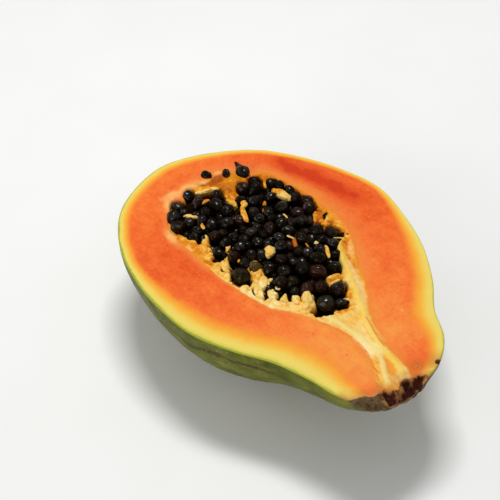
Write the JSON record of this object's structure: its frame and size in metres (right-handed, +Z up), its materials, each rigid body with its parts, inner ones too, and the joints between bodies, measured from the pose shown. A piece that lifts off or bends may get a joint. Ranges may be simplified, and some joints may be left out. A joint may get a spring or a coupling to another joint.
{
  "type": "papaya half",
  "caption": "Ripe papaya half, cut lengthwise, lying on its back, with a hollow full of dark round seeds.",
  "frame": {"origin": "on the surface the fruit rests on, below the middle of its outline", "axes": "+X towards the stem end, +Z up out of the cut face"},
  "size_m": [0.1651, 0.1146, 0.0523],
  "materials": {
    "flesh": "moist orange-red flesh under a green and yellow skin",
    "seeds": "glossy near-black seeds in a thin clear jelly"
  },
  "bodies": {
    "root": {"papaya_flesh": "flesh", "seed_heap": "seeds"}
  },
  "joints": []
}
